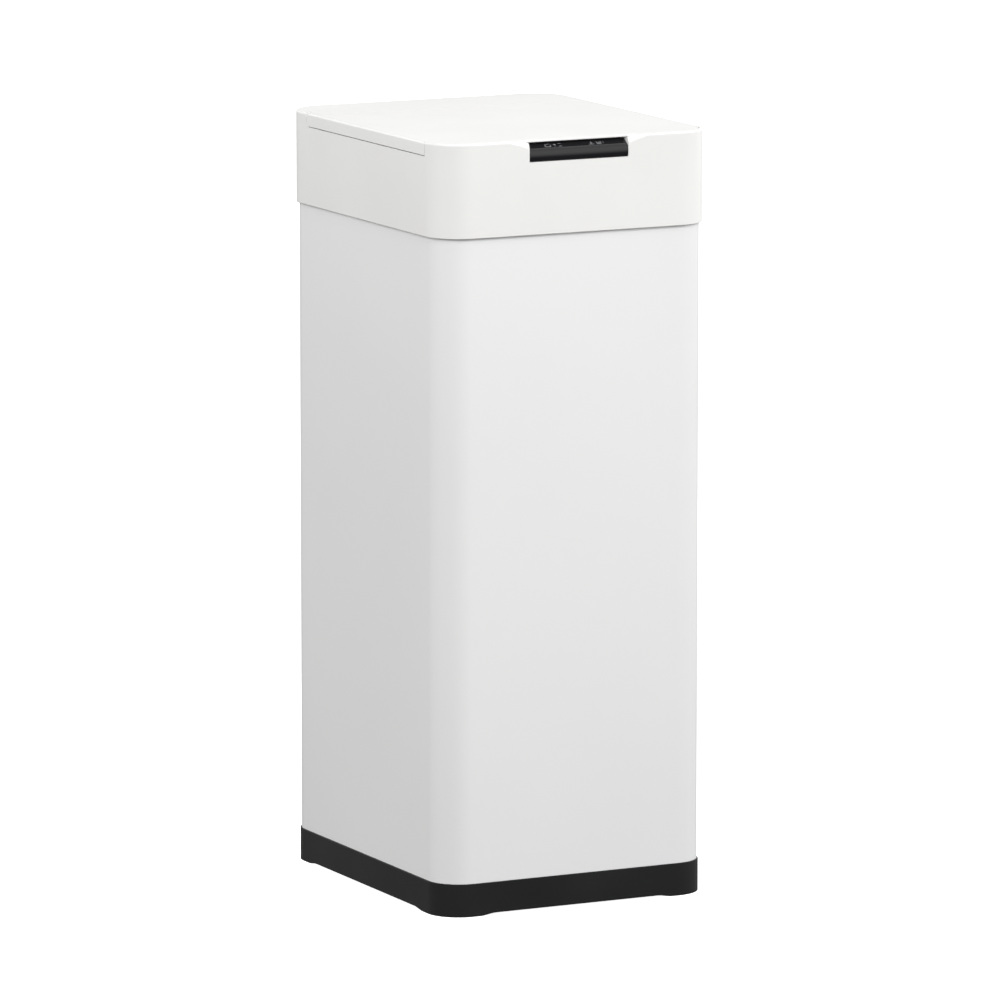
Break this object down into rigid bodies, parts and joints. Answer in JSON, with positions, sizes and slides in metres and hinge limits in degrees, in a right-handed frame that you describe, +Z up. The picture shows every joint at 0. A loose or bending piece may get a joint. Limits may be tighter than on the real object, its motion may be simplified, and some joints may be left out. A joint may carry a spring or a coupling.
{
  "type": "trash compactor",
  "caption": "Tall free-standing waste bin with a powered rear-hinged lid whose scissor ram presses the waste down, a touch panel, an inner bucket and a footed base.",
  "frame": {"origin": "on the floor under the middle of the head", "axes": "+Z up, front faces -Y, +X to the right seen from the front"},
  "size_m": [0.313, 0.374, 0.8],
  "materials": {
    "white_plastic": "moulded, satin gloss",
    "white_steel": "powder-coated sheet, satin",
    "black_plastic": "moulded, fine grain",
    "black_gloss": "polished black acrylic",
    "black_rubber": "matt",
    "grey_plastic": "moulded, fine grain",
    "dark_plastic": "moulded, fine grain",
    "circuit_board": "lacquered",
    "zinc_steel": "zinc-plated sheet",
    "bright_steel": "turned",
    "motor_can": "plated, turned",
    "bronze": "sintered",
    "nylon": "moulded",
    "charcoal": "felted"
  },
  "bodies": {
    "cabinet": {"base_tray": "black_plastic", "foot_pads": "black_rubber", "base_screws": "zinc_steel", "body_shell": "white_steel", "head_collar": "white_plastic", "collar_screws": "zinc_steel", "panel_lens": "black_gloss", "panel_board": "circuit_board", "touch_board": "circuit_board", "ir_sensors": "black_gloss", "rear_housing": "grey_plastic", "filter_cover": "dark_plastic", "odour_filter": "charcoal", "main_board": "circuit_board", "power_supply": "black_plastic", "power_inlet": "black_plastic", "switch_housing": "black_plastic", "lid_motor": "motor_can", "lid_gearbox": "zinc_steel", "hinge_pin": "bright_steel", "inner_bucket": "dark_plastic", "bag_ring": "grey_plastic", "ring_seal": "black_rubber"},
    "lid": {"lid_cover": "white_plastic", "hinge_shaft": "bright_steel", "lid_gear": "nylon", "ram_housing": "grey_plastic", "chassis_rail_left": "zinc_steel", "chassis_rail_right": "zinc_steel", "chassis_front": "zinc_steel", "chassis_rear": "zinc_steel", "chassis_bridge": "zinc_steel", "chassis_screws": "bright_steel", "pivot_bearings": "bronze", "limit_switches": "black_plastic", "ram_bracket": "zinc_steel", "ram_gearbox": "zinc_steel", "ram_motor": "motor_can"},
    "lid_drive": {"lid_pinion": "bronze"},
    "ram_drive": {"ram_pinion": "bright_steel"},
    "upper_links_a": {"upper_arms_a": "zinc_steel", "ram_shaft": "bright_steel", "ram_sector": "bright_steel"},
    "upper_links_b": {"upper_arms_b": "zinc_steel"},
    "lower_links_a": {"lower_arms_a": "zinc_steel"},
    "lower_links_b": {"lower_arms_b": "zinc_steel"},
    "upper_roller_pair": {"upper_rollers": "nylon"},
    "lower_roller_pair": {"lower_rollers": "nylon"},
    "plate": {"press_plate": "zinc_steel", "plate_rail_left": "zinc_steel", "plate_rail_right": "zinc_steel", "plate_wiper": "black_rubber", "plate_screws": "bright_steel"},
    "rocker": {"power_switch": "black_plastic"}
  },
  "joints": [
    {"name": "lid_hinge", "type": "hinge", "parent": "cabinet", "child": "lid", "pos_m": [0, 0.1244, 0.7929], "axis": [-1, 0, 0], "range_deg": [0, 85]},
    {"name": "lid_drive_spin", "type": "hinge", "parent": "cabinet", "child": "lid_drive", "pos_m": [0.139, 0.12718, 0.77309], "axis": [-1, 0, 0], "range_deg": [-199, 0]},
    {"name": "ram_fold", "type": "hinge", "parent": "lid", "child": "upper_links_a", "pos_m": [0, 0.072, 0.766], "axis": [-1, 0, 0], "range_deg": [-52, 0]},
    {"name": "upper_cross_pivot", "type": "hinge", "parent": "upper_links_a", "child": "upper_links_b", "pos_m": [0, -0.03033, 0.75885], "axis": [-1, 0, 0], "range_deg": [0, 104]},
    {"name": "middle_pivot", "type": "hinge", "parent": "upper_links_b", "child": "lower_links_a", "pos_m": [0, 0.072, 0.7517], "axis": [-1, 0, 0], "range_deg": [-104, 0]},
    {"name": "lower_cross_pivot", "type": "hinge", "parent": "lower_links_a", "child": "lower_links_b", "pos_m": [0, -0.03033, 0.74455], "axis": [-1, 0, 0], "range_deg": [0, 104]},
    {"name": "plate_pivot", "type": "hinge", "parent": "lower_links_b", "child": "plate", "pos_m": [0, 0.072, 0.7374], "axis": [-1, 0, 0], "range_deg": [-52, 0]},
    {"name": "ram_drive_spin", "type": "hinge", "parent": "lid", "child": "ram_drive", "pos_m": [0.0915, 0.04108, 0.776], "axis": [-1, 0, 0], "range_deg": [0, 174]},
    {"name": "upper_roller_spin", "type": "hinge", "parent": "upper_links_b", "child": "upper_roller_pair", "pos_m": [0, -0.13267, 0.766], "axis": [-1, 0, 0], "continuous": true},
    {"name": "lower_roller_spin", "type": "hinge", "parent": "lower_links_a", "child": "lower_roller_pair", "pos_m": [0, -0.13267, 0.7374], "axis": [-1, 0, 0], "continuous": true},
    {"name": "power_rocker", "type": "hinge", "parent": "cabinet", "child": "rocker", "pos_m": [-0.1, 0.18, 0.7347], "axis": [-1, 0, 0], "range_deg": [0, 20]}
  ],
  "couplings": [
    {"joint": "lid_drive_spin", "follows": "lid_hinge", "ratio": -2.3333},
    {"joint": "upper_cross_pivot", "follows": "ram_fold", "ratio": -2},
    {"joint": "middle_pivot", "follows": "ram_fold", "ratio": 2},
    {"joint": "lower_cross_pivot", "follows": "ram_fold", "ratio": -2},
    {"joint": "plate_pivot", "follows": "ram_fold", "ratio": 1},
    {"joint": "ram_drive_spin", "follows": "ram_fold", "ratio": -3.3333}
  ]
}
